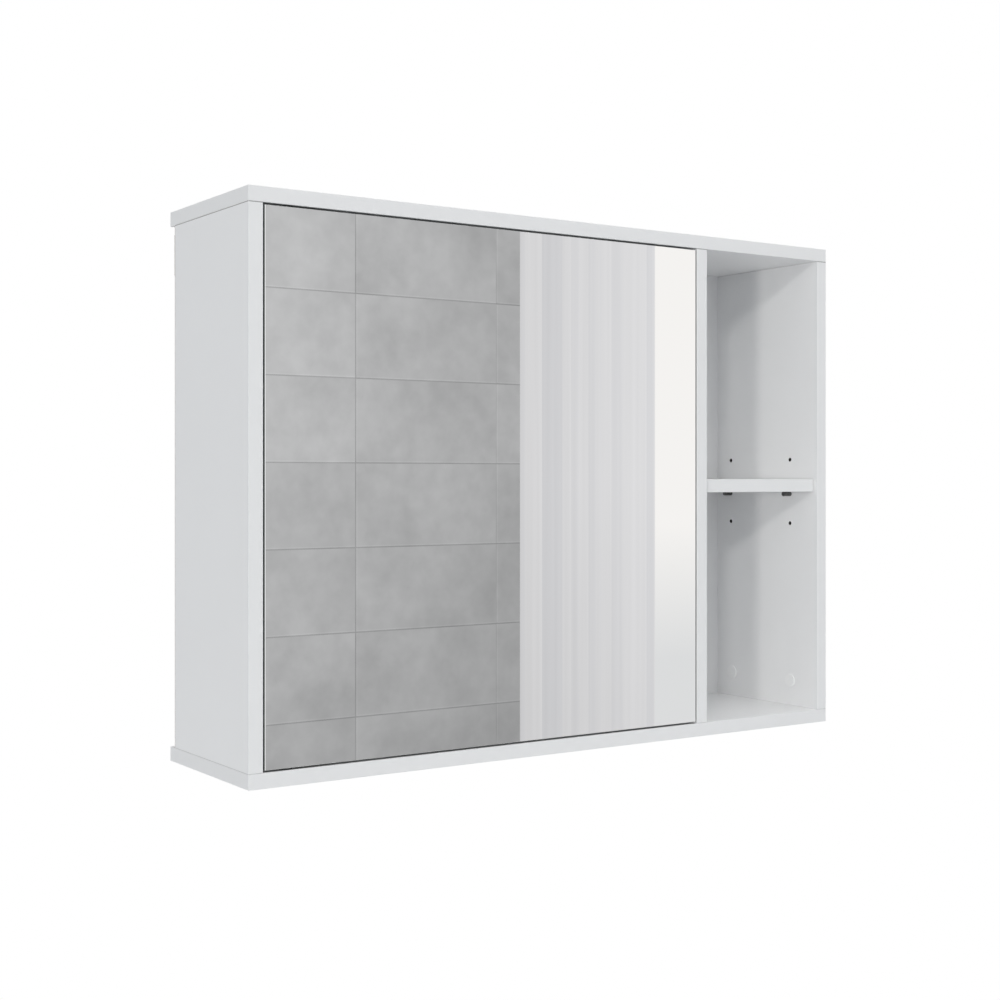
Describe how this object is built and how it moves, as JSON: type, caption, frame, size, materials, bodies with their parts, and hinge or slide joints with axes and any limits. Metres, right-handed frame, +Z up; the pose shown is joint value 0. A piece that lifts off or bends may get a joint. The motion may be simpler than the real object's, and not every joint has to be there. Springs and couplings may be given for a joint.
{
  "type": "bathroom mirror cabinet",
  "caption": "White wall cabinet with an inset mirror door on pivot hinges, an open side compartment with a loose shelf, and keyhole hangers at the back.",
  "frame": {"origin": "on the wall plane, at the middle of the cabinet's bottom edge", "axes": "+X to the right as seen from the room, +Y towards the wall, +Z up"},
  "size_m": [0.8, 0.2, 0.6],
  "materials": {
    "panel": "white melamine-faced chipboard, satin",
    "edge_band": "white plastic edge band, satin",
    "back_board": "white-faced fibreboard, satin",
    "mirror": "silvered float glass with polished arris",
    "tape": "white foam tape",
    "dowel": "fluted beech",
    "zinc": "zinc plated",
    "white_cap": "white plastic",
    "nail_steel": "bright steel",
    "hanger_steel": "zinc plated sheet",
    "pin_metal": "dark nickel plated",
    "leaf_steel": "nickel plated steel",
    "bush_nylon": "black nylon",
    "latch_plastic": "white moulded plastic",
    "magnet": "nickel plated magnet",
    "spring_steel": "spring steel"
  },
  "bodies": {
    "carcass": {"top_panel": "panel", "bottom_panel": "panel", "left_side_panel": "panel", "right_side_panel": "panel", "divider_panel": "panel", "back_panel": "back_board", "top_panel_edging": "edge_band", "bottom_panel_edging": "edge_band", "left_side_edging": "edge_band", "divider_edging": "edge_band", "right_side_edging": "edge_band", "wood_dowels": "dowel", "bottom_cam_housings": "zinc", "bottom_cam_bolts": "zinc", "cam_cover_caps": "white_cap", "top_connecting_screws": "zinc", "top_screw_caps": "white_cap", "back_panel_nails": "nail_steel", "left_wall_hanger": "hanger_steel", "right_wall_hanger": "hanger_steel", "wall_hanger_screws": "zinc", "open_shelf_pins": "pin_metal", "cabinet_shelf_pins": "pin_metal", "hinge_bushes": "bush_nylon", "hinge_washers": "bush_nylon", "latch_housing": "latch_plastic", "latch_spring": "spring_steel", "latch_screws": "zinc"},
    "door": {"door_board": "panel", "door_edging": "edge_band", "mirror_tape_strips": "tape", "mirror_glass": "mirror", "lower_pivot_leaf": "leaf_steel", "upper_pivot_leaf": "leaf_steel", "pivot_pins": "leaf_steel", "pivot_leaf_screws": "zinc", "strike_plate": "zinc", "strike_plate_screw": "zinc"},
    "plunger": {"latch_plunger": "latch_plastic", "latch_magnet": "magnet"},
    "open_shelf_board": {"open_shelf": "panel", "open_shelf_edging": "edge_band"},
    "cabinet_shelf_board": {"cabinet_shelf": "panel", "cabinet_shelf_edging": "edge_band"}
  },
  "joints": [
    {"name": "door_hinge", "type": "hinge", "parent": "carcass", "child": "door", "pos_m": [-0.356, -0.191, 0.3], "axis": [0, 0, -1], "range_deg": [0, 110]},
    {"name": "latch_push", "type": "slide", "parent": "carcass", "child": "plunger", "axis": [0, 1, 0], "range_m": [0, 0.003], "stiffness_N_per_m": 200, "springref_m": -0.02},
    {"name": "open_shelf_slide", "type": "slide", "parent": "carcass", "child": "open_shelf_board", "axis": [0, -1, 0], "range_m": [0, 0.19]},
    {"name": "cabinet_shelf_lift", "type": "slide", "parent": "carcass", "child": "cabinet_shelf_board", "axis": [0, 0, 1], "range_m": [0, 0.03]}
  ]
}
